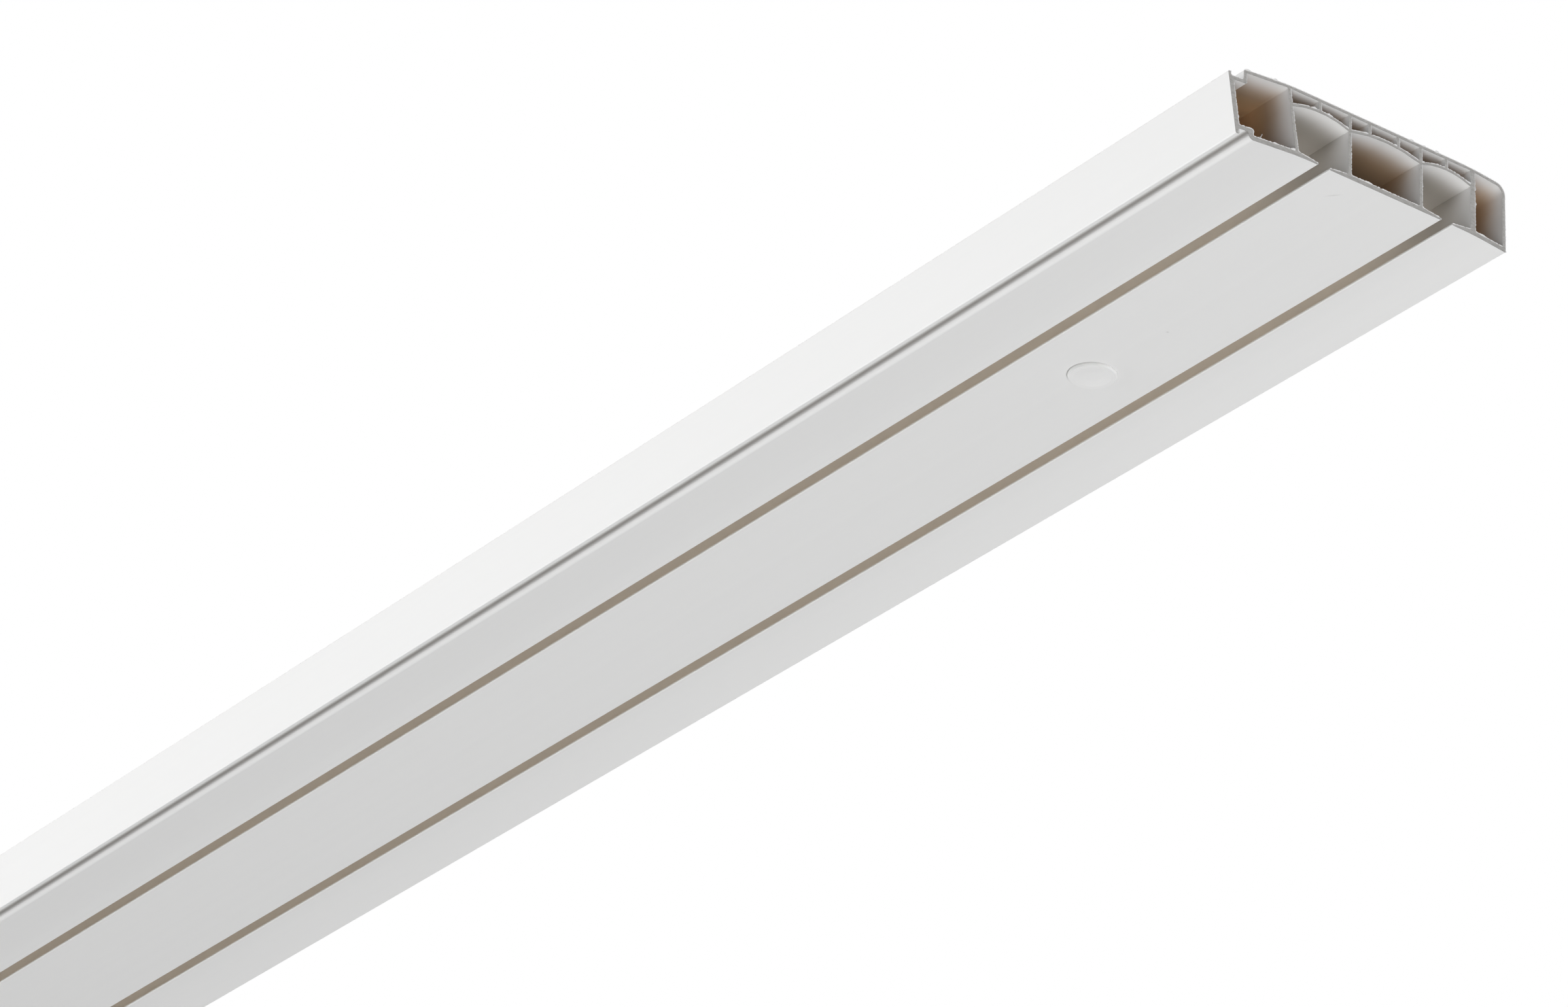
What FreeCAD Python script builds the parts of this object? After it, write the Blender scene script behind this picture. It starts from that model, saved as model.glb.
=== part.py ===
"""Two-channel ceiling curtain track: a hollow plastic extrusion with push-in caps over its screw holes.

X runs along the track, Y from its front face to its rear, Z up to the ceiling.
The origin is on the ceiling face, on the screw line, half way along the track.
The section is drawn upwards from the underside, with Y counted from the screw line.
"""
import FreeCAD
import Part
import math
import os

# Length and height
LENGTH = 1250.0
HEIGHT = 17.6

# Clear widths across the track, at the underside
FRONT_CHAMBER_WIDTH = 16.25
CHANNEL_WIDTH = 14.6
MIDDLE_CHAMBER_WIDTH = 20.4
REAR_CHAMBER_WIDTH = 8.3
SLOT_WIDTH = 3.5
SCREW_LINE_OFFSET = 1.0

# Walls
FRONT_WALL = 1.3
REAR_WALL = 0.8
BOTTOM_WALL = 1.2
TOP_WALL = 0.75
WEB = 0.8
REAR_WEB = 1.4
LIP_EDGE = 0.5
LIP_EDGE_RADIUS = 0.2
CHAMBER_RADIUS = 0.4

# Forward lean of the front bay's two walls, outward fall of the front and rear bays, and the soft bend between
FRONT_LEAN = 0.15
BAY_SLOPE = 0.095
BEND_RADIUS = 90.0

# Double top wall: arched roofs over the channels and the middle chamber, with a row of cells above
DOUBLE_WALL_DEPTH = 5.1
ARCH_RISE = 1.4
ARCH_WALL = 0.7
DIVIDER = 0.8
SCREW_CELL_WIDTH = 7.7
SCREW_CELL_CLEARANCE = 0.4

# Outer corners at the rear
TOP_CORNER_RADIUS = 2.8
FOOT_CORNER_RADIUS = 0.2

# Clip groove along the top of the front wall
FRONT_TIP_DROP = 1.65
FRONT_TIP_WIDTH = 0.75
GROOVE_WIDTH = 3.75
GROOVE_DEPTH = 1.0
GROOVE_WALL = 0.9
GROOVE_RADIUS = 0.6

# Clip recess along the foot of the front wall
RECESS_LIP = 0.75
RECESS_LIP_END = 0.5
RECESS_WIDTH = 3.2
RECESS_DEPTH = 1.85
RECESS_SLANT = 0.5
RECESS_WALL = 1.05
RECESS_RADIUS = 0.4

# Screw holes, and the access holes below them
HOLE_COUNT = 3
END_MARGIN = 106.0
SCREW_HOLE_DIAMETER = 4.0
ACCESS_HOLE_DIAMETER = 10.0

# Cover caps
CAP_DIAMETER = 12.0
CAP_PROUD = 0.7
CAP_CHAMFER = 0.4
CAP_DISH_DIAMETER = 9.0
CAP_DISH_FLOOR_DIAMETER = 4.0
CAP_DISH_DEPTH = 0.25
CAP_CLEARANCE = 0.1
CAP_STEM_WALL = 0.9
CAP_STEM_TIP = 1.2
CAP_BEAD = 0.3
CAP_BEAD_LENGTH = 0.9
CAP_SLIT_WIDTH = 1.6
CAP_SLIT_FLOOR = 0.4

# How far a cutting shape passes the surface that it cuts
CUT_PAST = 1.0

Vector = FreeCAD.Vector
ALONG = Vector(1, 0, 0)
UP = Vector(0, 0, 1)


class Side:
    """The face of an upright wall: its place at the underside and its forward lean."""

    def __init__(self, foot, lean=0.0):
        self.foot = foot
        self.lean = lean

    def at(self, height):
        return self.foot - self.lean * height

    def moved(self, distance):
        return Side(self.foot + distance, self.lean)


# Faces of the walls from the middle chamber outwards
MIDDLE_FRONT = Side(-MIDDLE_CHAMBER_WIDTH / 2 - SCREW_LINE_OFFSET)
MIDDLE_REAR = Side(MIDDLE_CHAMBER_WIDTH / 2 - SCREW_LINE_OFFSET)
FRONT_CHANNEL_REAR = MIDDLE_FRONT.moved(-WEB)
FRONT_CHANNEL_FRONT = Side(FRONT_CHANNEL_REAR.foot - CHANNEL_WIDTH, FRONT_LEAN)
FRONT_CHAMBER_REAR = FRONT_CHANNEL_FRONT.moved(-WEB)
FRONT_CHAMBER_FRONT = FRONT_CHAMBER_REAR.moved(-FRONT_CHAMBER_WIDTH)
FRONT_FACE = FRONT_CHAMBER_FRONT.moved(-FRONT_WALL)
REAR_CHANNEL_FRONT = MIDDLE_REAR.moved(WEB)
REAR_CHANNEL_REAR = REAR_CHANNEL_FRONT.moved(CHANNEL_WIDTH)
REAR_CHAMBER_FRONT = REAR_CHANNEL_REAR.moved(REAR_WEB)
REAR_CHAMBER_REAR = REAR_CHAMBER_FRONT.moved(REAR_CHAMBER_WIDTH)
REAR_FACE = REAR_CHAMBER_REAR.moved(REAR_WALL)

# Heights of the double wall and the clip groove
TOP_INSIDE = HEIGHT - TOP_WALL
ARCH_SPRING = HEIGHT - DOUBLE_WALL_DEPTH
FRONT_TIP = HEIGHT - FRONT_TIP_DROP
GROOVE_FLOOR = FRONT_TIP - GROOVE_DEPTH

# Sides of the clip groove and the clip recess
GROOVE_FRONT_Y = FRONT_FACE.at(FRONT_TIP) + FRONT_TIP_WIDTH
GROOVE_REAR_Y = GROOVE_FRONT_Y + GROOVE_WIDTH
RECESS_FRONT_Y = FRONT_FACE.foot + RECESS_LIP
RECESS_REAR_Y = RECESS_FRONT_Y + RECESS_WIDTH


def fall(y, z):
    """How far the front and rear bays lie below the level of the channels."""
    outside_front = FRONT_CHANNEL_FRONT.at(z) - y
    outside_rear = y - REAR_CHANNEL_REAR.at(z)
    return BAY_SLOPE * max(outside_front, outside_rear, 0)


class Corner:
    """A corner of an outline, drawn level. The edge that leaves it can bulge upwards, by rise at its middle."""

    def __init__(self, y, z, radius=0.0, rise=0.0):
        self.place = Vector(0, y, z - fall(y, z))
        self.radius = radius
        self.rise = rise

    def turn(self, before, after):
        """Start, middle and end of the rounding between the edges to the two neighbouring corners."""
        to_before = (before.place - self.place).normalize()
        to_after = (after.place - self.place).normalize()
        half_angle = to_before.getAngle(to_after) / 2
        reach = self.radius / math.tan(half_angle)
        depth = self.radius / math.sin(half_angle) - self.radius
        middle = self.place + (to_before + to_after).normalize() * depth
        return self.place + to_before * reach, middle, self.place + to_after * reach


def outline_face(corners):
    """Flat face inside a closed outline of straight, bulged and rounded stretches."""
    turns = []
    for index, corner in enumerate(corners):
        if corner.radius > 0:
            turns.append(corner.turn(corners[index - 1], corners[(index + 1) % len(corners)]))
        else:
            turns.append((corner.place, None, corner.place))
    edges = []
    for index, corner in enumerate(corners):
        start, middle, end = turns[index]
        if middle:
            edges.append(Part.Arc(start, middle, end).toShape())
        following = turns[(index + 1) % len(corners)][0]
        if corner.rise:
            crown = (end + following) / 2 + UP * corner.rise
            edges.append(Part.Arc(end, crown, following).toShape())
        else:
            edges.append(Part.LineSegment(end, following).toShape())
    return Part.Face(Part.Wire(edges))


def envelope():
    """Outside of the profile, with the clip groove and the clip recess but without the channels."""
    tip_radius = 0.4 * FRONT_TIP_WIDTH
    lip_radius = 0.4 * RECESS_LIP
    return outline_face([
        Corner(RECESS_REAR_Y, 0, 0.7 * RECESS_DEPTH),
        Corner(FRONT_CHANNEL_FRONT.at(0), 0, BEND_RADIUS),
        Corner(REAR_CHANNEL_REAR.at(0), 0, BEND_RADIUS),
        Corner(REAR_FACE.at(0), 0, FOOT_CORNER_RADIUS),
        Corner(REAR_FACE.at(HEIGHT), HEIGHT, TOP_CORNER_RADIUS),
        Corner(REAR_CHANNEL_REAR.at(HEIGHT), HEIGHT, BEND_RADIUS),
        Corner(FRONT_CHANNEL_FRONT.at(HEIGHT), HEIGHT, BEND_RADIUS),
        Corner(GROOVE_REAR_Y, HEIGHT, GROOVE_RADIUS),
        Corner(GROOVE_REAR_Y, GROOVE_FLOOR, GROOVE_RADIUS),
        Corner(GROOVE_FRONT_Y, GROOVE_FLOOR, GROOVE_RADIUS),
        Corner(GROOVE_FRONT_Y, FRONT_TIP),
        Corner(FRONT_FACE.at(FRONT_TIP), FRONT_TIP, tip_radius),
        Corner(FRONT_FACE.at(RECESS_LIP_END), RECESS_LIP_END, lip_radius),
        Corner(RECESS_FRONT_Y, RECESS_LIP_END, lip_radius),
        Corner(RECESS_FRONT_Y, RECESS_DEPTH, RECESS_RADIUS),
        Corner(RECESS_REAR_Y - RECESS_SLANT, RECESS_DEPTH, RECESS_RADIUS),
    ])


def front_chamber():
    """Closed chamber behind the front wall, stepped round the clip groove and the clip recess."""
    hump = RECESS_DEPTH + RECESS_WALL
    hump_rear_y = RECESS_REAR_Y + RECESS_WALL
    groove_under = GROOVE_FLOOR - GROOVE_WALL
    groove_behind_y = GROOVE_REAR_Y + GROOVE_WALL
    return outline_face([
        Corner(FRONT_CHAMBER_FRONT.at(hump), hump, CHAMBER_RADIUS),
        Corner(hump_rear_y, hump, CHAMBER_RADIUS),
        Corner(hump_rear_y, BOTTOM_WALL, CHAMBER_RADIUS),
        Corner(FRONT_CHAMBER_REAR.at(BOTTOM_WALL), BOTTOM_WALL, CHAMBER_RADIUS),
        Corner(FRONT_CHAMBER_REAR.at(TOP_INSIDE), TOP_INSIDE, CHAMBER_RADIUS),
        Corner(groove_behind_y, TOP_INSIDE, CHAMBER_RADIUS),
        Corner(groove_behind_y, groove_under, CHAMBER_RADIUS),
        Corner(FRONT_CHAMBER_FRONT.at(groove_under), groove_under, CHAMBER_RADIUS),
    ])


def rear_chamber():
    """Closed chamber in front of the rear wall, under its rounded top corner."""
    round_inside = min(max(TOP_CORNER_RADIUS - REAR_WALL, CHAMBER_RADIUS), 0.8 * REAR_CHAMBER_WIDTH)
    return outline_face([
        Corner(REAR_CHAMBER_FRONT.at(BOTTOM_WALL), BOTTOM_WALL, CHAMBER_RADIUS),
        Corner(REAR_CHAMBER_REAR.at(BOTTOM_WALL), BOTTOM_WALL, CHAMBER_RADIUS),
        Corner(REAR_CHAMBER_REAR.at(TOP_INSIDE), TOP_INSIDE, round_inside),
        Corner(REAR_CHAMBER_FRONT.at(TOP_INSIDE), TOP_INSIDE, 0.1 * CHAMBER_RADIUS),
    ])


def arched_chamber(front, rear):
    """Closed chamber between two wall faces, from the bottom wall to its arched roof."""
    return outline_face([
        Corner(front.at(BOTTOM_WALL), BOTTOM_WALL, CHAMBER_RADIUS),
        Corner(rear.at(BOTTOM_WALL), BOTTOM_WALL, CHAMBER_RADIUS),
        Corner(rear.at(ARCH_SPRING), ARCH_SPRING, rise=ARCH_RISE),
        Corner(front.at(ARCH_SPRING), ARCH_SPRING),
    ])


def runner_channel(front, rear):
    """Channel between two wall faces, with its slot between two lips that thin out towards it."""
    slot_front_y = (front.foot + rear.foot - SLOT_WIDTH) / 2
    slot_rear_y = slot_front_y + SLOT_WIDTH
    flare = 2 * LIP_EDGE_RADIUS
    return outline_face([
        Corner(front.at(BOTTOM_WALL), BOTTOM_WALL, CHAMBER_RADIUS),
        Corner(slot_front_y, LIP_EDGE),
        Corner(slot_front_y, 0, LIP_EDGE_RADIUS),
        Corner(slot_front_y - flare, 0),
        Corner(slot_front_y - flare, -CUT_PAST),
        Corner(slot_rear_y + flare, -CUT_PAST),
        Corner(slot_rear_y + flare, 0),
        Corner(slot_rear_y, 0, LIP_EDGE_RADIUS),
        Corner(slot_rear_y, LIP_EDGE),
        Corner(rear.at(BOTTOM_WALL), BOTTOM_WALL, CHAMBER_RADIUS),
        Corner(rear.at(ARCH_SPRING), ARCH_SPRING, rise=ARCH_RISE),
        Corner(front.at(ARCH_SPRING), ARCH_SPRING),
    ])


def divider(front_y):
    """Upright divider between two cells, from its front face back."""
    return outline_face([
        Corner(front_y, ARCH_SPRING),
        Corner(front_y + DIVIDER, ARCH_SPRING),
        Corner(front_y + DIVIDER, HEIGHT),
        Corner(front_y, HEIGHT),
    ])


def cells(front, rear, dividers):
    """Row of cells between an arched roof and the top wall."""
    floor = ARCH_SPRING + ARCH_WALL
    band = outline_face([
        Corner(front.at(floor), floor, rise=ARCH_RISE),
        Corner(rear.at(floor), floor),
        Corner(rear.at(TOP_INSIDE), TOP_INSIDE),
        Corner(front.at(TOP_INSIDE), TOP_INSIDE),
    ])
    return band.cut(dividers).Faces


def middle_divider(front, rear):
    """Divider over the crown of a channel's roof."""
    cell_height = (ARCH_SPRING + TOP_INSIDE) / 2
    return divider((front.at(cell_height) + rear.at(cell_height) - DIVIDER) / 2)


def section():
    """The extruded section: one face with its channels, chambers and cells."""
    front_channel = (FRONT_CHANNEL_FRONT, FRONT_CHANNEL_REAR)
    rear_channel = (REAR_CHANNEL_FRONT, REAR_CHANNEL_REAR)
    middle = (MIDDLE_FRONT, MIDDLE_REAR)
    hollows = [front_chamber(), rear_chamber(), arched_chamber(*middle)]
    for channel in (front_channel, rear_channel):
        hollows += [runner_channel(*channel)] + cells(*channel, [middle_divider(*channel)])
    screw_cell_rear = SCREW_HOLE_DIAMETER / 2 + SCREW_CELL_CLEARANCE
    screw_cell_front = screw_cell_rear - SCREW_CELL_WIDTH
    hollows += cells(*middle, [divider(screw_cell_front - DIVIDER), divider(screw_cell_rear)])
    return envelope().cut(hollows).Faces[0]


def hole_places():
    """Places along the track of the screw holes, from the near end to the far end."""
    pitch = (LENGTH - 2 * END_MARGIN) / (HOLE_COUNT - 1)
    return [LENGTH / 2 - END_MARGIN - index * pitch for index in range(HOLE_COUNT)]


def track_profile():
    """The extrusion, with its access holes and screw holes drilled."""
    profile = section().extrude(ALONG * LENGTH)
    profile.translate(ALONG * (-LENGTH / 2))
    access_depth = BOTTOM_WALL + 2 * CUT_PAST
    screw_depth = DOUBLE_WALL_DEPTH + 2 * CUT_PAST
    drills = []
    for place in hole_places():
        below = Vector(place, 0, -CUT_PAST)
        above = Vector(place, 0, ARCH_SPRING - CUT_PAST)
        drills.append(Part.makeCylinder(ACCESS_HOLE_DIAMETER / 2, access_depth, below, UP))
        drills.append(Part.makeCylinder(SCREW_HOLE_DIAMETER / 2, screw_depth, above, UP))
    return profile.cut(drills)


def screw_cap():
    """Push-in cap: a dished disc on the underside, and a slit stem that snaps in behind the wall."""
    radius = CAP_DIAMETER / 2
    stem_radius = ACCESS_HOLE_DIAMETER / 2 - CAP_CLEARANCE
    stem_inside = stem_radius - CAP_STEM_WALL
    bead_start = BOTTOM_WALL + CAP_CLEARANCE
    bead_end = bead_start + CAP_BEAD_LENGTH
    stem_end = bead_end + CAP_STEM_TIP
    dish_floor = CAP_DISH_DEPTH - CAP_PROUD
    outline = [
        Vector(0, 0, dish_floor),
        Vector(CAP_DISH_FLOOR_DIAMETER / 2, 0, dish_floor),
        Vector(CAP_DISH_DIAMETER / 2, 0, -CAP_PROUD),
        Vector(radius - CAP_CHAMFER, 0, -CAP_PROUD),
        Vector(radius, 0, CAP_CHAMFER - CAP_PROUD),
        Vector(radius, 0, 0),
        Vector(stem_radius, 0, 0),
        Vector(stem_radius, 0, bead_start),
        Vector(stem_radius + CAP_BEAD, 0, bead_start + CAP_BEAD),
        Vector(stem_radius, 0, bead_end),
        Vector(stem_radius, 0, stem_end),
        Vector(stem_inside, 0, stem_end),
        Vector(stem_inside, 0, 0),
        Vector(0, 0, 0),
    ]
    cap = Part.Face(Part.makePolygon(outline + outline[:1])).revolve(Vector(), UP, 360)

    slit = Part.makeBox(2 * radius, CAP_SLIT_WIDTH, stem_end)
    slit.translate(Vector(-radius, -CAP_SLIT_WIDTH / 2, CAP_SLIT_FLOOR))
    cross_slit = slit.copy()
    cross_slit.rotate(Vector(), UP, 90)
    return cap.cut([slit, cross_slit])


def export(name, shape):
    """Write one piece, hung below the ceiling face."""
    shape.translate(UP * -HEIGHT)
    shape.exportStep(os.path.join("parts", name + ".step"))


os.makedirs("parts", exist_ok=True)
export("track_profile", track_profile())
for number, place in enumerate(hole_places(), start=1):
    cap = screw_cap()
    cap.translate(ALONG * place)
    export(f"screw_cap_{number}", cap)
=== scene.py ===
import math
import bmesh
import bpy
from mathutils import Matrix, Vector, noise


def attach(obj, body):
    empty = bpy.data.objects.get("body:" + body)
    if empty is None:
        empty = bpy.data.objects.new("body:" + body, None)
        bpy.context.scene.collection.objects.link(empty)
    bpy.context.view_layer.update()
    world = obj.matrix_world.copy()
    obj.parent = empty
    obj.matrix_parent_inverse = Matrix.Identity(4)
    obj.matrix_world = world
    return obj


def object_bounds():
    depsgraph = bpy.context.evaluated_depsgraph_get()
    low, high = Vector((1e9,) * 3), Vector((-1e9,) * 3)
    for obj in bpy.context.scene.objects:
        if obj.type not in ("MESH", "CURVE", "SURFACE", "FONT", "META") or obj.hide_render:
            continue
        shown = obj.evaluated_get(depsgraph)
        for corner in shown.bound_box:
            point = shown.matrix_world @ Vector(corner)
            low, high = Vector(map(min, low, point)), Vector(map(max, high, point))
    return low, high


# Two-channel ceiling curtain track in a white studio, seen from below at its near cut end.
# Metres, in the part's frame: X along the track, Y from its front wall to its rear, Z up to the ceiling.

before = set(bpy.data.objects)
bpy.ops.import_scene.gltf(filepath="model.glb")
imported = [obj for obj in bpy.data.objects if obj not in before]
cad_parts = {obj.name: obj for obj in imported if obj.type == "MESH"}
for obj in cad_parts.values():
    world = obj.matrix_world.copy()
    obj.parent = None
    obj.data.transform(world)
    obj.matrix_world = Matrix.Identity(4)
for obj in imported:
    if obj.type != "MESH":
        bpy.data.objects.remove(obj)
cad_low, cad_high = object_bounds()

# Camera
CAMERA_PLACE = (1.5614, -0.8256, -0.7827)
CAMERA_TURN = (118.711, -2.371, 53.406)
CAMERA_LENS = 148.55
SENSOR_WIDTH = 36.0

# Studio
FLOOR_HEIGHT = -2.5
FLOOR_SIZE = 9.0
FLOOR_GREY = (0.84, 0.84, 0.84, 1.0)
FLOOR_CLOUD = (0.88, 0.88, 0.88, 1.0)
FLOOR_WAVES = (3, 3, 3)
FLOOR_ROUGHNESS = 0.8
FLOOR_GLOW = 0.85
LIGHT_WHITE = (1.0, 1.0, 1.0, 1.0)
AMBIENT = 0.14
LIGHTS = {
    "front_light": {"place": (-1.0, -2.7, 0.2), "size": 1.8, "level": 0.785},
    "under_light": {"place": (1.7, -0.6, -1.6), "size": 2.4, "level": 0.6},
    "rear_light": {"place": (-0.9, 1.8, 1.6), "size": 2.4, "level": 0.75},
}
DIFFUSE_BOUNCES = 12

# Colours of the track's plastic outside and on the saw cuts; painted shade and painted light in its
# hollows; painted shade in its recess; a painted shadow line round the caps and marks on its underside
WHITE = (0.86, 0.86, 0.855, 1.0)
WHITE_STREAK = (0.885, 0.885, 0.88, 1.0)
CUT_DARK = (0.46, 0.445, 0.42, 1.0)
CUT_LIGHT = (0.84, 0.83, 0.81, 1.0)
# Painted shade deep in the chambers, lightened in the outer ones by painted light through their walls;
# painted shade near the channels' ends and a painted lighter tone deeper in them
OUTER_PAINTED_SHADE_AND_LIGHT = (0.66, 0.44, 0.25, 1.0)
MIDDLE_PAINTED_SHADE = (0.43, 0.3, 0.19, 1.0)
CHANNEL_SHADE = (0.24, 0.215, 0.18, 1.0)
CHANNEL_PAINTED_LIGHT = (0.945, 0.912, 0.863, 1.0)
# Painted shade in the recess
RECESS_SHADE = (0.25, 0.235, 0.22, 1.0)
# Painted shadow line round the caps
GAP_SHADE = (0.24, 0.24, 0.23, 1.0)
MARK_GREY = (0.72, 0.72, 0.71, 1.0)

# Finish of the track's plastic
STREAK_WAVES = (1.2, 350, 350)
GRAIN_WAVES = (2500, 2500, 2500)
SAW_WAVES = (900, 900, 2600)
SAW_DETAIL = 5.0
TRACK_ROUGHNESS = 0.42
CUT_ROUGHNESS = 0.67
STREAK_ROUGHNESS = 0.12
TRACK_SHEEN = 0.25
GRAIN_RELIEF = 0.1
SAW_RELIEF = 2.0
TRACK_BUMP = {"Strength": 0.5, "Distance": 0.0001}

# Faces that look along the track by more than this share are its saw cuts
CUT_FACING = 0.9

# Painted shade in the hollows: how far daylight reaches into them from a cut end before the painted shade
# takes over, further near their floors than under their roofs, and only a share as far in the small cells
LOW_REACH = 0.0086
HIGH_REACH = 0.0048
CELL_SHARE = 0.62
SHADE_HEIGHTS = (0.002, 0.0125)

# How far in from a cut end the roofs of the channels are in painted shade
END_SHADE_REACH = 0.018

# Painted light through the thin outer walls: the depths over which it grows in the front chamber, and its
# even share in the rear one
FRONT_THROUGH_DEPTHS = (0.008, 0.013)
REAR_THROUGH_SHARE = 0.6

# Middles of the section's walls, which part its outside from its hollows: places across the track, and
# heights above the level underside
TRACK_HEIGHT = 0.0176
FRONT_LEAN = 0.15
BAY_SLOPE = 0.095
FRONT_BAY_FROM = -0.0266
REAR_BAY_FROM = 0.0246
FRONT_WALL = -0.0443
REAR_WALL = 0.0347
REAR_ROUNDING = 0.0505
BOTTOM_WALL = 0.00055
TOP_WALL = 0.0172
GROOVE_WALL = -0.0424
GROOVE_FLOOR = 0.0145
RECESS_LIP = -0.0446
RECESS_WALL = -0.0405
RECESS_ROOF = 0.0024
FRONT_WEB = -0.027
MIDDLE_FRONT_WEB = -0.0116
MIDDLE_REAR_WEB = 0.0096
REAR_WEB = 0.0253

# Arches that part the channels and the middle chamber from the cells above them
ARCH_CROWN = 0.01425
ARCH_RISE = 0.0014
FRONT_ARCH = {"centre": -0.0202, "half": 0.0082}
MIDDLE_ARCH = {"centre": -0.001, "half": 0.0102}
REAR_ARCH = {"centre": 0.0173, "half": 0.0073}

# Painted shade in the rear corner of the recess
RECESS_CORNER = (-0.0415, 0.00185)
RECESS_SHADE_REACH = 0.0011

# Burrs of the saw along the cut edges: an even ridge, roughened, with a lump here and there
BURR_STEP = 0.0003
BURR_BASE = 0.00022
BURR_SINK = 0.00008
BURR_HEIGHT = 0.00011
BURR_LEAN = 0.8
BURR_EVEN_SHARE = 0.7
BURR_ROUGH_SHARE = 1.1
BURR_ROUGH_WAVES = 2600
BURR_LUMP_SHARE = 5
BURR_LUMP_WAVES = 520
BURR_LUMP_FROM = 0.3

# The one shaving that hangs on
SHAVING_FOOT = (-0.0383, -0.0176)
SHAVING_TIP = (-0.0374, -0.0162)
SHAVING_RADIUS = 0.00015
SHAVING_TAPER = 0.35
SHAVING_BOW = 0.08
SHAVING_RINGS = 7
SHAVING_SIDES = 6

# Caps: their plastic, the painted shade and painted highlight on their rims, and the painted shadow line
# round them, which is darkest on the side where they stand off a little
CAP_PITCH = 0.519
CAP_RADIUS = 0.006
CAP_WHITE = (0.875, 0.875, 0.87, 1.0)
CAP_CLOUD = (0.905, 0.905, 0.9, 1.0)
CAP_CLOUD_WAVES = (250, 250, 250)
CAP_GRAIN_WAVES = (3000, 3000, 3000)
CAP_ROUGHNESS = (0.36, 0.46)
CAP_SHEEN = 0.5
CAP_BUMP = {"Strength": 0.3, "Distance": 0.00002}
# Painted shade and painted highlight on the caps' rims
RIM_RADII = (0.0055, 0.0057)
RIM_SHADE = (0.62, 0.62, 0.61, 1.0)
RIM_SHADE_SIDE = (0.78, -0.62)
RIM_SHADE_SPAN = (0.0, 0.0048)
RIM_LIGHT = (0.97, 0.97, 0.965, 1.0)
RIM_LIGHT_SIDE = (0.75, 0.66)
RIM_LIGHT_SPAN = (0.0018, 0.006)
# Painted shadow line round the caps: its width, and the side where it is darkest
GAP_WIDTH = 0.0002
GAP_SIDE = (-0.62, -0.78)

# Marks on the underside: a speck, and a faint smear near the end
MARKS = {
    "speck": {
        "place": (0.546, 0.0007),
        "direction": (1.0, 0.0),
        "half_length": 0.0005,
        "half_width": 0.0005,
    },
    "smear": {
        "place": (0.6173, -0.0099),
        "direction": (0.773, 0.634),
        "half_length": 0.0024,
        "half_width": 0.0003,
    },
}


class Graph:
    """A node tree, built from its nodes and the values or outputs that feed them."""

    def __init__(self, tree):
        self.tree = tree
        tree.nodes.clear()

    def add(self, kind, inputs=None, **settings):
        node = self.tree.nodes.new(kind)
        for name, value in settings.items():
            setattr(node, name, value)
        for name, value in (inputs or {}).items():
            self.feed(node.inputs[name], value)
        return node

    def feed(self, socket, value):
        if isinstance(value, bpy.types.NodeSocket):
            self.tree.links.new(value, socket)
        else:
            socket.default_value = value

    def math(self, operation, *values):
        node = self.add("ShaderNodeMath", operation=operation)
        for socket, value in zip(node.inputs, values):
            self.feed(socket, value)
        return node.outputs["Value"]

    def all_of(self, *shares):
        """Product of shares, which is 1 only where each of them is."""
        product = shares[0]
        for share in shares[1:]:
            product = self.math("MULTIPLY", product, share)
        return product

    def above(self, value, limit):
        """1 where the value is over the limit, and 0 elsewhere."""
        return self.math("GREATER_THAN", value, limit)

    def below(self, value, limit):
        """1 where the value is under the limit, and 0 elsewhere."""
        return self.math("LESS_THAN", value, limit)

    def step(self, share, first, second):
        """Number that goes from first at share 0 to second at share 1."""
        return self.math("MULTIPLY_ADD", share, second - first, first)

    def blend(self, share, first, second):
        """Colour between first at share 0 and second at share 1."""
        node = self.add("ShaderNodeMix", data_type="RGBA")
        self.feed(node.inputs["Factor"], share)
        self.feed(node.inputs["A"], first)
        self.feed(node.inputs["B"], second)
        return node.outputs["Result"]

    def mix_shaders(self, share, first, second):
        """Shader between first at share 0 and second at share 1."""
        node = self.add("ShaderNodeMixShader", {"Fac": share})
        self.feed(node.inputs[1], first)
        self.feed(node.inputs[2], second)
        return node.outputs["Shader"]

    def ramp(self, value, low, high):
        """Share that goes from 0 at low to 1 at high."""
        node = self.add("ShaderNodeMapRange", {"Value": value, "From Min": low, "From Max": high})
        return node.outputs["Result"]

    def along(self, x, y, direction):
        """How far a place lies in a direction on the underside."""
        return self.math("MULTIPLY_ADD", x, direction[0], self.math("MULTIPLY", y, direction[1]))

    def length(self, x, y):
        squares = self.math("ADD", self.math("POWER", x, 2.0), self.math("POWER", y, 2.0))
        return self.math("SQRT", squares)

    def fade(self, distance, reach):
        """Share of 1 at no distance, about a third at the reach and hardly any at twice the reach."""
        reaches = self.math("DIVIDE", distance, reach)
        return self.math("EXPONENT", self.math("MULTIPLY", self.math("POWER", reaches, 2.0), -1.0))

    def noise(self, vector, waves, detail=3.0):
        """Noise of 0 to 1, with a number of waves to the metre along each axis."""
        mapping = self.add("ShaderNodeMapping", {"Vector": vector, "Scale": waves})
        inputs = {"Vector": mapping.outputs["Vector"], "Scale": 1.0, "Detail": detail}
        return self.add("ShaderNodeTexNoise", inputs).outputs["Fac"]

    def seen_rays(self):
        """1 for rays that show the surroundings, and 0 for rays that only light the part."""
        path = self.add("ShaderNodeLightPath")
        straight = self.math("MAXIMUM", path.outputs["Is Camera Ray"], path.outputs["Is Transmission Ray"])
        return self.math("MAXIMUM", straight, path.outputs["Is Glossy Ray"])


def along_from_cap(graph, x):
    """How far along the track a place is from the middle of the nearest cap."""
    caps_before = graph.math("ROUND", graph.math("DIVIDE", x, CAP_PITCH))
    return graph.math("MULTIPLY_ADD", caps_before, -CAP_PITCH, x)


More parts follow.
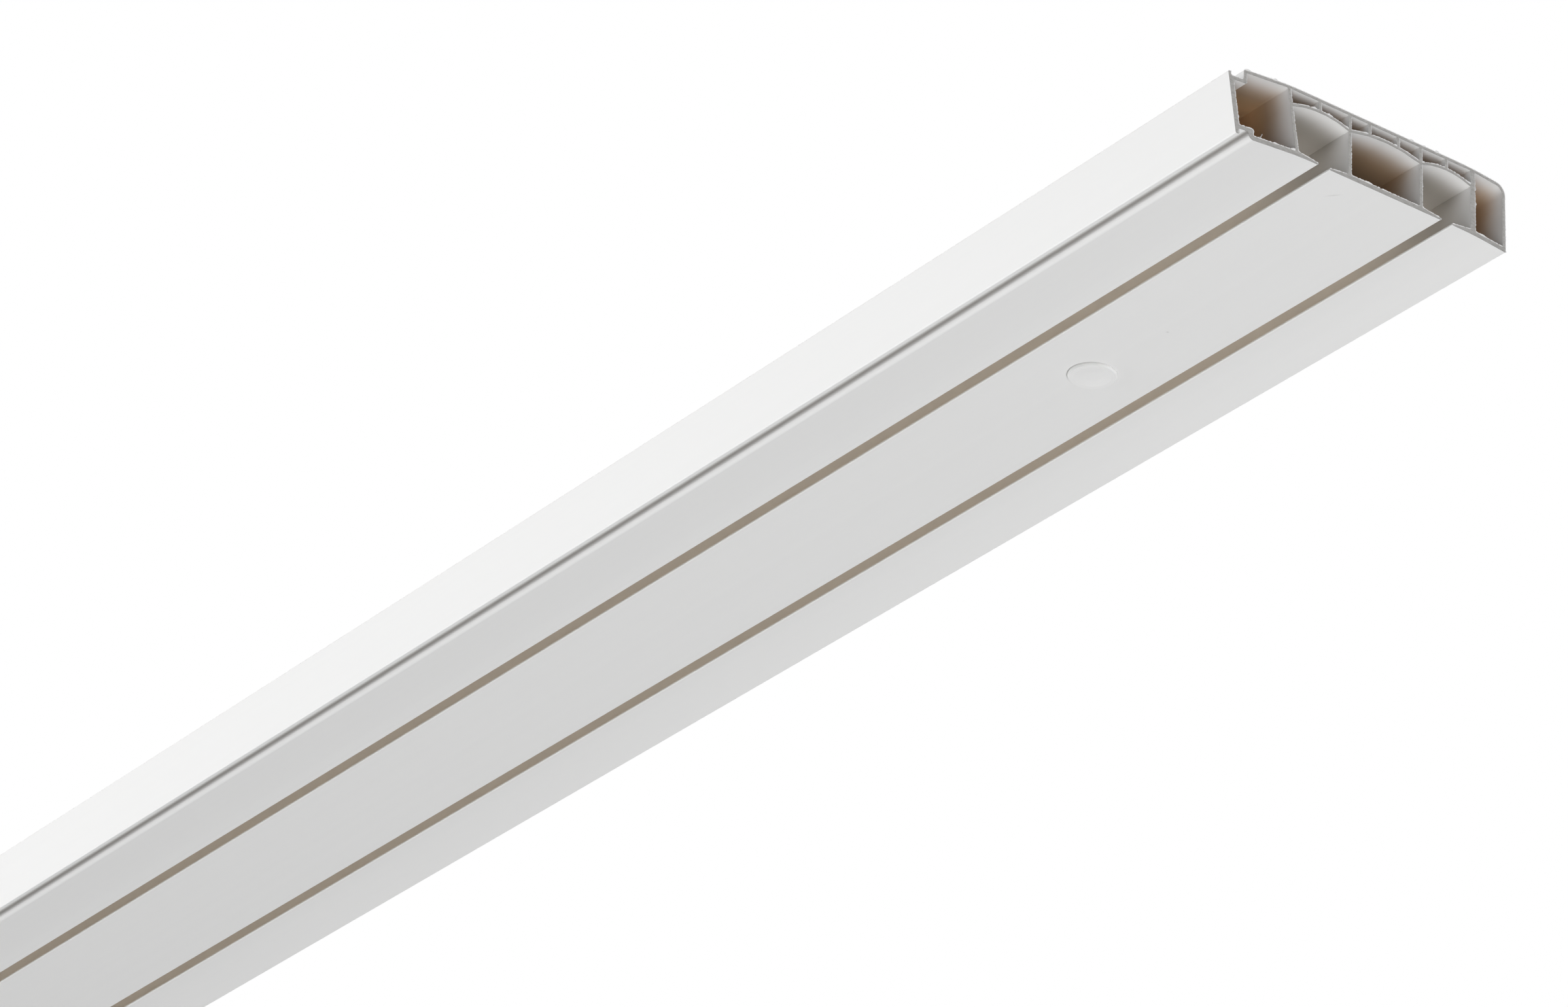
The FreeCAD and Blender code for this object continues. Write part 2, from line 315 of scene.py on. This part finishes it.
class Section:
    """Shares of 0 to 1 that tell a material where on the track it is."""

    def __init__(self, graph, place):
        parts = graph.add("ShaderNodeSeparateXYZ", {"Vector": place})
        rise = graph.math("ADD", parts.outputs["Z"], TRACK_HEIGHT)
        self.graph = graph
        self.x = parts.outputs["X"]
        self.y = parts.outputs["Y"]
        self.leaned_y = graph.math("MULTIPLY_ADD", rise, FRONT_LEAN, self.y)
        self.height = self.levelled(rise)
        self.high = graph.ramp(self.height, *SHADE_HEIGHTS)
        self.underside = graph.below(self.height, BOTTOM_WALL)
        self.hollow = self.inside_walls()
        self.front_chamber = graph.below(self.leaned_y, FRONT_WEB)
        self.rear_chamber = graph.above(self.y, REAR_WEB)
        self.channel, self.cell = self.channels_and_cells()
        self.recess = self.recess_corner()
        self.cap_painted_shadow = self.line_round_caps()

    def levelled(self, rise):
        """Height above the underside, with the fall of the front and rear bays taken out."""
        graph = self.graph
        past_front = graph.math("SUBTRACT", FRONT_BAY_FROM, self.leaned_y)
        past_rear = graph.math("SUBTRACT", self.y, REAR_BAY_FROM)
        past_middle = graph.math("MAXIMUM", graph.math("MAXIMUM", past_front, past_rear), 0.0)
        return graph.math("MULTIPLY_ADD", past_middle, BAY_SLOPE, rise)

    def inside_walls(self):
        """Share inside the outer walls of the section."""
        graph = self.graph
        floor = graph.step(graph.below(self.y, RECESS_WALL), BOTTOM_WALL, RECESS_ROOF)
        roof = graph.step(graph.below(self.y, GROOVE_WALL), TOP_WALL, GROOVE_FLOOR)
        return graph.all_of(
            graph.above(self.height, floor),
            graph.below(self.height, roof),
            graph.above(self.leaned_y, FRONT_WALL),
            graph.below(self.y, REAR_WALL),
            graph.below(graph.math("ADD", self.y, self.height), REAR_ROUNDING),
        )

    def channels_and_cells(self):
        """Share in the two channels under their arches, and share in the cells above the arches."""
        graph = self.graph
        y = self.y
        in_front = graph.all_of(graph.above(self.leaned_y, FRONT_WEB), graph.below(y, MIDDLE_FRONT_WEB))
        in_middle = graph.all_of(graph.above(y, MIDDLE_FRONT_WEB), graph.below(y, MIDDLE_REAR_WEB))
        in_rear = graph.all_of(graph.above(y, MIDDLE_REAR_WEB), graph.below(y, REAR_WEB))
        arch_height = self.height
        for share, arch in ((in_front, FRONT_ARCH), (in_middle, MIDDLE_ARCH), (in_rear, REAR_ARCH)):
            across = graph.math("DIVIDE", graph.math("SUBTRACT", y, arch["centre"]), arch["half"])
            drop = graph.all_of(share, across, across)
            arch_height = graph.math("MULTIPLY_ADD", drop, ARCH_RISE, arch_height)
        in_channels = graph.math("ADD", in_front, in_rear)
        under_arch = graph.below(arch_height, ARCH_CROWN)
        over_arch = graph.above(arch_height, ARCH_CROWN)
        channel = graph.all_of(in_channels, under_arch)
        cell = graph.all_of(graph.math("ADD", in_channels, in_middle), over_arch)
        return channel, cell

    def recess_corner(self):
        """Share of painted shade in the recess, which is full in its rear corner."""
        graph = self.graph
        corner_y, corner_height = RECESS_CORNER
        across = graph.math("SUBTRACT", self.y, corner_y)
        up = graph.math("SUBTRACT", self.height, corner_height)
        return graph.all_of(
            graph.ramp(graph.length(across, up), RECESS_SHADE_REACH, 0.0),
            graph.below(self.height, RECESS_ROOF),
            graph.above(self.leaned_y, RECESS_LIP),
            graph.below(self.y, RECESS_WALL),
        )

    def line_round_caps(self):
        """Share of the painted shadow line on the underside round each cap."""
        graph = self.graph
        from_cap_x = along_from_cap(graph, self.x)
        from_rim = graph.math("SUBTRACT", graph.length(from_cap_x, self.y), CAP_RADIUS)
        return graph.all_of(
            graph.fade(from_rim, GAP_WIDTH),
            graph.ramp(graph.along(from_cap_x, self.y, GAP_SIDE), -CAP_RADIUS, CAP_RADIUS),
            self.underside,
        )

    def mark(self, place, direction, half_length, half_width):
        """Share of a soft oval mark on the underside."""
        graph = self.graph
        x = graph.math("SUBTRACT", self.x, place[0])
        y = graph.math("SUBTRACT", self.y, place[1])
        along = graph.math("DIVIDE", graph.along(x, y, direction), half_length)
        across = graph.math("DIVIDE", graph.along(x, y, (-direction[1], direction[0])), half_width)
        return graph.all_of(graph.ramp(graph.length(along, across), 1.0, 0.0), self.underside)


def new_material(name):
    material = bpy.data.materials.new(name)
    material.use_nodes = True
    return material, Graph(material.node_tree)


def set_plastic(graph, colour, roughness, sheen, relief, bump):
    """Plastic surface of a material, with a fine relief."""
    shader = graph.add("ShaderNodeBsdfPrincipled", {
        "Base Color": colour,
        "Roughness": roughness,
        "Specular IOR Level": sheen,
        "Normal": graph.add("ShaderNodeBump", {"Height": relief, **bump}).outputs["Normal"],
    })
    graph.add("ShaderNodeOutputMaterial", {"Surface": shader.outputs["BSDF"]})


def painted_hollow_shade_and_light(graph, section):
    """Painted shade and painted light deep in the hollows, and the share of them that daylight from the cut
    ends leaves.
    """
    # Painted shade grows with depth from the cut ends; painted light through the thin outer walls lightens
    # it in the outer chambers
    depth = graph.math("SUBTRACT", cad_high[0], graph.math("ABSOLUTE", section.x))
    depth = graph.math("MAXIMUM", depth, 0.0)
    reach = graph.all_of(
        graph.step(section.high, LOW_REACH, HIGH_REACH),
        graph.step(section.cell, 1.0, CELL_SHARE),
    )
    unlit = graph.math("SUBTRACT", 1.0, graph.fade(depth, reach))
    end_shade = graph.all_of(graph.fade(depth, END_SHADE_REACH), section.high)
    channel_painted_shade_and_light = graph.blend(end_shade, CHANNEL_PAINTED_LIGHT, CHANNEL_SHADE)
    lit_front = graph.all_of(section.front_chamber, graph.ramp(depth, *FRONT_THROUGH_DEPTHS))
    lit_through = graph.math("MULTIPLY_ADD", section.rear_chamber, REAR_THROUGH_SHARE, lit_front)
    chamber_painted_shade_and_light = graph.blend(lit_through, MIDDLE_PAINTED_SHADE, OUTER_PAINTED_SHADE_AND_LIGHT)
    inside = graph.blend(section.channel, chamber_painted_shade_and_light, channel_painted_shade_and_light)
    return inside, graph.all_of(section.hollow, unlit)


def track_plastic():
    """Matt white plastic with faint streaks, painted shade and painted light deep in its hollows, painted
    shade in its recess, a painted shadow line round its caps, and rough where it is sawn.
    """
    material, graph = new_material("white_pvc")
    place = graph.add("ShaderNodeTexCoord").outputs["Object"]
    normal = graph.add("ShaderNodeNewGeometry").outputs["True Normal"]
    facing = graph.add("ShaderNodeSeparateXYZ", {"Vector": normal}).outputs["X"]
    cut = graph.above(graph.math("ABSOLUTE", facing), CUT_FACING)
    streaks = graph.noise(place, STREAK_WAVES)
    grain = graph.noise(place, GRAIN_WAVES)
    saw = graph.noise(place, SAW_WAVES, detail=SAW_DETAIL)
    section = Section(graph, place)
    inside, painted_hollow_share = painted_hollow_shade_and_light(graph, section)

    colour = graph.blend(streaks, WHITE, WHITE_STREAK)
    for mark in MARKS.values():
        colour = graph.blend(section.mark(**mark), colour, MARK_GREY)
    # Painted shadow line round the caps
    colour = graph.blend(section.cap_painted_shadow, colour, GAP_SHADE)
    # Painted shade in the recess
    colour = graph.blend(section.recess, colour, RECESS_SHADE)
    # Painted shade and painted light deep in the hollows
    colour = graph.blend(painted_hollow_share, colour, inside)
    colour = graph.blend(cut, colour, graph.blend(saw, CUT_DARK, CUT_LIGHT))
    even_roughness = graph.step(cut, TRACK_ROUGHNESS, CUT_ROUGHNESS)
    roughness = graph.math("ADD", graph.math("MULTIPLY", streaks, STREAK_ROUGHNESS), even_roughness)
    saw_marks = graph.math("MULTIPLY", graph.all_of(saw, cut), SAW_RELIEF)
    relief = graph.math("ADD", graph.math("MULTIPLY", grain, GRAIN_RELIEF), saw_marks)
    set_plastic(graph, colour, roughness, TRACK_SHEEN, relief, TRACK_BUMP)
    return material


def cap_plastic():
    """Satin white moulded plastic of the caps, with painted shade on one side of their rims and a painted
    highlight on the other.
    """
    material, graph = new_material("cap_plastic")
    place = graph.add("ShaderNodeTexCoord").outputs["Object"]
    clouds = graph.noise(place, CAP_CLOUD_WAVES)
    grain = graph.noise(place, CAP_GRAIN_WAVES)
    parts = graph.add("ShaderNodeSeparateXYZ", {"Vector": place})
    x = along_from_cap(graph, parts.outputs["X"])
    y = parts.outputs["Y"]
    rim = graph.ramp(graph.length(x, y), *RIM_RADII)
    shaded = graph.ramp(graph.along(x, y, RIM_SHADE_SIDE), *RIM_SHADE_SPAN)
    lit = graph.ramp(graph.along(x, y, RIM_LIGHT_SIDE), *RIM_LIGHT_SPAN)
    colour = graph.blend(clouds, CAP_WHITE, CAP_CLOUD)
    # Painted shade and painted highlight on the rims
    colour = graph.blend(graph.all_of(rim, shaded), colour, RIM_SHADE)
    colour = graph.blend(graph.all_of(rim, lit), colour, RIM_LIGHT)
    set_plastic(graph, colour, graph.step(clouds, *CAP_ROUGHNESS), CAP_SHEEN, grain, CAP_BUMP)
    return material


def floor_paint():
    """Pale floor paint, evenly bright where it is seen, and clear from underneath."""
    material, graph = new_material("floor")
    place = graph.add("ShaderNodeTexCoord").outputs["Object"]
    clouds = graph.noise(place, FLOOR_WAVES)
    colour = graph.blend(clouds, FLOOR_GREY, FLOOR_CLOUD)
    paint = graph.add("ShaderNodeBsdfPrincipled", {"Base Color": colour, "Roughness": FLOOR_ROUGHNESS})
    glow = graph.add("ShaderNodeEmission", {"Color": colour, "Strength": 1.0})
    clear = graph.add("ShaderNodeBsdfTransparent")
    glowing = graph.math("MULTIPLY", graph.seen_rays(), FLOOR_GLOW)
    underneath = graph.add("ShaderNodeNewGeometry").outputs["Backfacing"]
    upper_side = graph.mix_shaders(glowing, paint.outputs["BSDF"], glow.outputs["Emission"])
    surface = graph.mix_shaders(underneath, upper_side, clear.outputs["BSDF"])
    graph.add("ShaderNodeOutputMaterial", {"Surface": surface})
    return material


def dress(node, material):
    node.data.materials.clear()
    node.data.materials.append(material)


def add_object(name, data):
    item = bpy.data.objects.new(name, data)
    bpy.context.scene.collection.objects.link(item)
    return item


def add_piece(name, shape, material):
    """Object from a finished bmesh, in one material, that goes with the part."""
    bmesh.ops.recalc_face_normals(shape, faces=shape.faces)
    mesh = bpy.data.meshes.new(name)
    shape.to_mesh(mesh)
    shape.free()
    mesh.materials.append(material)
    piece = add_object(name, mesh)
    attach(piece, "root")


def join_rings(shape, rings):
    """Closed skin over rings of points, one after the other."""
    loops = [[shape.verts.new(point) for point in ring] for ring in rings]
    for ring, following in zip(loops, loops[1:]):
        for index in range(len(ring)):
            after = (index + 1) % len(ring)
            shape.faces.new((ring[index], ring[after], following[after], following[index]))
    shape.faces.new(loops[0])
    shape.faces.new(loops[-1])


def cut_edges(mesh, end_x):
    """Edges of the track's walls at one saw cut, each with the direction that its wall faces."""
    for polygon in mesh.polygons:
        if abs(polygon.normal.x) > CUT_FACING:
            continue
        for first, second in polygon.edge_keys:
            start = mesh.vertices[first].co
            stop = mesh.vertices[second].co
            if max(abs(start.x - end_x), abs(stop.x - end_x)) <= BURR_SINK:
                yield start, stop, polygon.normal


def burr_ring(point, wall_out, end_out):
    """Three-cornered section of a burr on a cut edge, as high as the saw left it there."""
    rough = noise.noise(point * BURR_ROUGH_WAVES)
    lump = max(noise.noise(point * BURR_LUMP_WAVES) - BURR_LUMP_FROM, 0)
    height = BURR_HEIGHT * (BURR_EVEN_SHARE + BURR_ROUGH_SHARE * rough + BURR_LUMP_SHARE * lump)
    sunk = point - end_out * BURR_SINK
    tip = point + end_out * height + wall_out * BURR_LEAN * height
    return [sunk - wall_out * BURR_BASE, sunk, tip]


def add_burrs(track, material):
    """Ragged burrs along every edge of the two saw cuts."""
    shape = bmesh.new()
    for end_x, end_out in ((cad_low[0], Vector((-1, 0, 0))), (cad_high[0], Vector((1, 0, 0)))):
        for start, stop, wall_out in cut_edges(track.data, end_x):
            count = max(1, round((stop - start).length / BURR_STEP))
            points = [start.lerp(stop, index / count) for index in range(count + 1)]
            join_rings(shape, [burr_ring(point, wall_out, end_out) for point in points])
    add_piece("saw_burrs", shape, material)


def shaving_ring(middle, side, radius):
    """Ring of points round the shaving."""
    ring = []
    for corner in range(SHAVING_SIDES):
        turn = math.tau * corner / SHAVING_SIDES
        ring.append(middle + side * radius * math.cos(turn) + Vector((radius * math.sin(turn), 0, 0)))
    return ring


def add_shaving(material):
    """Thin shaving that stands on the floor of the front chamber at the near cut."""
    foot = Vector((cad_high[0], *SHAVING_FOOT))
    tip = Vector((cad_high[0], *SHAVING_TIP))
    side = (tip - foot).cross(Vector((1, 0, 0))).normalized()
    rings = []
    for index in range(SHAVING_RINGS):
        share = index / (SHAVING_RINGS - 1)
        bow = side * SHAVING_BOW * (tip - foot).length * math.sin(math.pi * share)
        radius = SHAVING_RADIUS * (1 - SHAVING_TAPER * share)
        rings.append(shaving_ring(foot.lerp(tip, share) + bow, side, radius))
    shape = bmesh.new()
    join_rings(shape, rings)
    add_piece("shaving", shape, material)


def add_floor():
    """Pale floor of the room below the track."""
    half = FLOOR_SIZE / 2
    corners = [(-half, -half, 0), (half, -half, 0), (half, half, 0), (-half, half, 0)]
    mesh = bpy.data.meshes.new("floor")
    mesh.from_pydata(corners, [], [(0, 1, 2, 3)])
    mesh.materials.append(floor_paint())
    floor = add_object("floor", mesh)
    floor.location.z = FLOOR_HEIGHT


def add_light(name, place, size, level):
    """Square soft light aimed at the track. At level 1 it lights a white face turned to it to white."""
    data = bpy.data.lights.new(name, "AREA")
    data.size = size
    distance = Vector(place).length
    data.energy = level * math.pi**2 * distance**2
    light = add_object(name, data)
    light.location = place
    light.rotation_euler = (-Vector(place)).to_track_quat("-Z", "Y").to_euler()
    light.visible_camera = False


def add_world():
    """Even grey light all round, and a white background."""
    world = bpy.data.worlds.new("studio")
    world.use_nodes = True
    bpy.context.scene.world = world
    graph = Graph(world.node_tree)
    light = graph.add("ShaderNodeBackground", {"Color": LIGHT_WHITE, "Strength": AMBIENT})
    white = graph.add("ShaderNodeBackground", {"Color": LIGHT_WHITE, "Strength": 1.0})
    surface = graph.mix_shaders(graph.seen_rays(), light.outputs["Background"], white.outputs["Background"])
    graph.add("ShaderNodeOutputWorld", {"Surface": surface})


def add_camera():
    data = bpy.data.cameras.new("camera")
    data.lens = CAMERA_LENS
    data.sensor_width = SENSOR_WIDTH
    data.sensor_fit = "HORIZONTAL"
    camera = add_object("camera", data)
    camera.location = CAMERA_PLACE
    camera.rotation_euler = [math.radians(angle) for angle in CAMERA_TURN]
    bpy.context.scene.camera = camera


track_material = track_plastic()
cap_material = cap_plastic()
for name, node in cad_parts.items():
    dress(node, cap_material if name.startswith("screw_cap") else track_material)
add_burrs(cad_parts["track_profile"], track_material)
add_shaving(track_material)
add_floor()
for name, light in LIGHTS.items():
    add_light(name, **light)
add_world()
add_camera()
bpy.context.scene.cycles.diffuse_bounces = DIFFUSE_BOUNCES
bpy.context.scene.view_settings.view_transform = "Standard"
